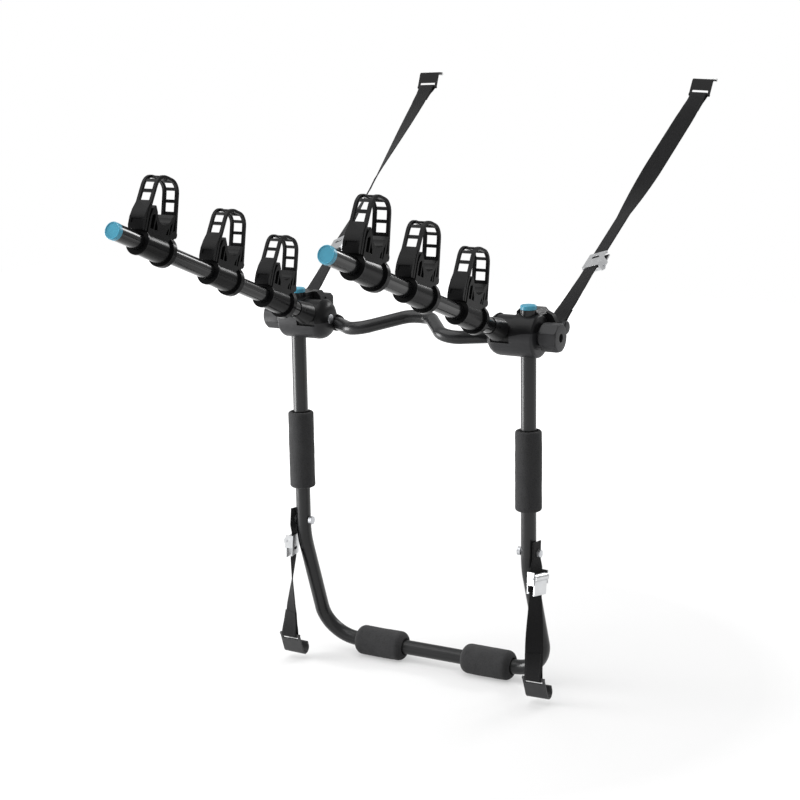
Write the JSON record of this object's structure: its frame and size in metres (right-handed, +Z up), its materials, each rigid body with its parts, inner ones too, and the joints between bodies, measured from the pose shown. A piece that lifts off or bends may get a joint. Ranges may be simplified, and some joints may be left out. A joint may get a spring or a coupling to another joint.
{
  "type": "trunk mounted bike rack",
  "caption": "Strap-on car boot bike carrier: bent tube frame, folding arms with sliding tube cradles, and webbing straps with cam buckles and hooks.",
  "frame": {"origin": "middle of the bottom bar's axis, where the foot pads lean on the car", "axes": "+X across the car to the rack's right as seen from behind it, +Y toward the car, +Z up"},
  "size_m": [0.6051, 1.1609, 1.0055],
  "materials": {
    "frame_paint": "satin black powder coat",
    "arm_paint": "gloss black paint",
    "foam": "matte closed-cell foam",
    "shell": "fine-textured black plastic",
    "cradle": "satin black plastic",
    "strap_rubber": "semi-matte black rubber",
    "blue": "light blue plastic",
    "webbing": "woven polyester",
    "zinc": "bright zinc plate",
    "hook_coat": "vinyl-dipped dark grey steel",
    "fastener": "zinc-plated steel"
  },
  "bodies": {
    "frame": {"lower_frame": "frame_paint", "foam_sleeve_left": "foam", "foam_sleeve_right": "foam", "foot_pad_left": "foam", "foot_pad_right": "foam", "crossbar": "frame_paint", "hub_pod_left": "shell", "hub_pod_right": "shell", "hub_cover_left": "shell", "hub_cover_right": "shell", "hub_screws": "fastener", "pivot_bolts": "fastener", "upright_plugs": "blue", "strap_pins": "fastener", "strap_bolts": "fastener", "upper_webbing_left": "webbing", "upper_webbing_right": "webbing", "lower_webbing_left": "webbing", "lower_webbing_right": "webbing", "upper_buckle_left": "zinc", "upper_buckle_right": "zinc", "lower_buckle_left": "zinc", "lower_buckle_right": "zinc", "buckle_pins": "fastener"},
    "arm_left": {"arm_left": "arm_paint", "arm_cap_left": "blue", "arm_root_left": "shell", "arm_pin_left": "fastener"},
    "knob_left": {"knob_left": "shell"},
    "cradle_left_1": {"cradle_left_1": "cradle"},
    "ladder_left_1": {"ladder_left_1": "strap_rubber"},
    "cradle_left_2": {"cradle_left_2": "cradle"},
    "ladder_left_2": {"ladder_left_2": "strap_rubber"},
    "cradle_left_3": {"cradle_left_3": "cradle"},
    "ladder_left_3": {"ladder_left_3": "strap_rubber"},
    "upper_cam_left": {"upper_cam_left": "zinc"},
    "upper_hook_left": {"upper_hook_left": "hook_coat"},
    "lower_cam_left": {"lower_cam_left": "zinc"},
    "lower_hook_left": {"lower_hook_left": "hook_coat"},
    "arm_right": {"arm_right": "arm_paint", "arm_cap_right": "blue", "arm_root_right": "shell", "arm_pin_right": "fastener"},
    "knob_right": {"knob_right": "shell"},
    "cradle_right_1": {"cradle_right_1": "cradle"},
    "ladder_right_1": {"ladder_right_1": "strap_rubber"},
    "cradle_right_2": {"cradle_right_2": "cradle"},
    "ladder_right_2": {"ladder_right_2": "strap_rubber"},
    "cradle_right_3": {"cradle_right_3": "cradle"},
    "ladder_right_3": {"ladder_right_3": "strap_rubber"},
    "upper_cam_right": {"upper_cam_right": "zinc"},
    "upper_hook_right": {"upper_hook_right": "hook_coat"},
    "lower_cam_right": {"lower_cam_right": "zinc"},
    "lower_hook_right": {"lower_hook_right": "hook_coat"}
  },
  "joints": [
    {"name": "arm_left_fold", "type": "hinge", "parent": "frame", "child": "arm_left", "pos_m": [-0.181, -0.073, 0.593], "axis": [-1, 0, 0], "range_deg": [0, 68]},
    {"name": "knob_left_turn", "type": "hinge", "parent": "frame", "child": "knob_left", "pos_m": [-0.26, -0.073, 0.593], "axis": [-1, 0, 0], "continuous": true},
    {"name": "cradle_left_1_slide", "type": "slide", "parent": "arm_left", "child": "cradle_left_1", "axis": [0, -0.9311, 0.3649], "range_m": [-0.01, 0.01]},
    {"name": "ladder_left_1_lift", "type": "hinge", "parent": "cradle_left_1", "child": "ladder_left_1", "pos_m": [-0.181, -0.48381, 0.78299], "axis": [-1, 0, 0], "range_deg": [0, 45]},
    {"name": "cradle_left_2_slide", "type": "slide", "parent": "arm_left", "child": "cradle_left_2", "axis": [0, -0.9311, 0.3649], "range_m": [-0.01, 0.01]},
    {"name": "ladder_left_2_lift", "type": "hinge", "parent": "cradle_left_2", "child": "ladder_left_2", "pos_m": [-0.181, -0.31122, 0.71536], "axis": [-1, 0, 0], "range_deg": [0, 45]},
    {"name": "cradle_left_3_slide", "type": "slide", "parent": "arm_left", "child": "cradle_left_3", "axis": [0, -0.9311, 0.3649], "range_m": [-0.01, 0.01]},
    {"name": "ladder_left_3_lift", "type": "hinge", "parent": "cradle_left_3", "child": "ladder_left_3", "pos_m": [-0.181, -0.16195, 0.65686], "axis": [-1, 0, 0], "range_deg": [0, 45]},
    {"name": "upper_cam_left_lever", "type": "hinge", "parent": "frame", "child": "upper_cam_left", "pos_m": [-0.24612, 0.11192, 0.68141], "axis": [-0.9045, 0.1848, -0.3844], "range_deg": [0, 60], "stiffness_Nm_per_rad": 0.06, "springref_deg": -20.05},
    {"name": "upper_hook_left_swing", "type": "hinge", "parent": "frame", "child": "upper_hook_left", "pos_m": [-0.28, 0.507, 0.951], "axis": [0.998, 0.0531, 0.0351], "range_deg": [-30, 30]},
    {"name": "lower_cam_left_lever", "type": "hinge", "parent": "frame", "child": "lower_cam_left", "pos_m": [-0.24236, -0.08186, 0.19566], "axis": [-0.2588, 0.9616, -0.0919], "range_deg": [0, 60], "stiffness_Nm_per_rad": 0.06, "springref_deg": -20.05},
    {"name": "lower_hook_left_swing", "type": "hinge", "parent": "frame", "child": "lower_hook_left", "pos_m": [-0.238, -0.097, 0.025], "axis": [-0.9998, 0.002, 0.0195], "range_deg": [-30, 30]},
    {"name": "arm_right_fold", "type": "hinge", "parent": "frame", "child": "arm_right", "pos_m": [0.181, -0.073, 0.593], "axis": [-1, 0, 0], "range_deg": [0, 68]},
    {"name": "knob_right_turn", "type": "hinge", "parent": "frame", "child": "knob_right", "pos_m": [0.26, -0.073, 0.593], "axis": [1, 0, 0], "continuous": true},
    {"name": "cradle_right_1_slide", "type": "slide", "parent": "arm_right", "child": "cradle_right_1", "axis": [0, -0.9403, 0.3404], "range_m": [-0.01, 0.01]},
    {"name": "ladder_right_1_lift", "type": "hinge", "parent": "cradle_right_1", "child": "ladder_right_1", "pos_m": [0.181, -0.47922, 0.76876], "axis": [-1, 0, 0], "range_deg": [0, 45]},
    {"name": "cradle_right_2_slide", "type": "slide", "parent": "arm_right", "child": "cradle_right_2", "axis": [0, -0.9403, 0.3404], "range_m": [-0.01, 0.01]},
    {"name": "ladder_right_2_lift", "type": "hinge", "parent": "cradle_right_2", "child": "ladder_right_2", "pos_m": [0.181, -0.3346, 0.71641], "axis": [-1, 0, 0], "range_deg": [0, 45]},
    {"name": "cradle_right_3_slide", "type": "slide", "parent": "arm_right", "child": "cradle_right_3", "axis": [0, -0.9403, 0.3404], "range_m": [-0.01, 0.01]},
    {"name": "ladder_right_3_lift", "type": "hinge", "parent": "cradle_right_3", "child": "ladder_right_3", "pos_m": [0.181, -0.17678, 0.65928], "axis": [-1, 0, 0], "range_deg": [0, 45]},
    {"name": "upper_cam_right_lever", "type": "hinge", "parent": "frame", "child": "upper_cam_right", "pos_m": [0.25255, 0.11251, 0.67961], "axis": [-0.9253, 0.253, -0.2826], "range_deg": [0, 60], "stiffness_Nm_per_rad": 0.06, "springref_deg": -20.05},
    {"name": "upper_hook_right_swing", "type": "hinge", "parent": "frame", "child": "upper_hook_right", "pos_m": [0.28, 0.507, 0.943], "axis": [0.9979, -0.0538, -0.0347], "range_deg": [-30, 30]},
    {"name": "lower_cam_right_lever", "type": "hinge", "parent": "frame", "child": "lower_cam_right", "pos_m": [0.24236, -0.08186, 0.19566], "axis": [-0.2588, -0.9616, 0.0919], "range_deg": [0, 60], "stiffness_Nm_per_rad": 0.06, "springref_deg": -20.05},
    {"name": "lower_hook_right_swing", "type": "hinge", "parent": "frame", "child": "lower_hook_right", "pos_m": [0.238, -0.097, 0.025], "axis": [-0.9998, -0.002, -0.0195], "range_deg": [-30, 30]}
  ]
}
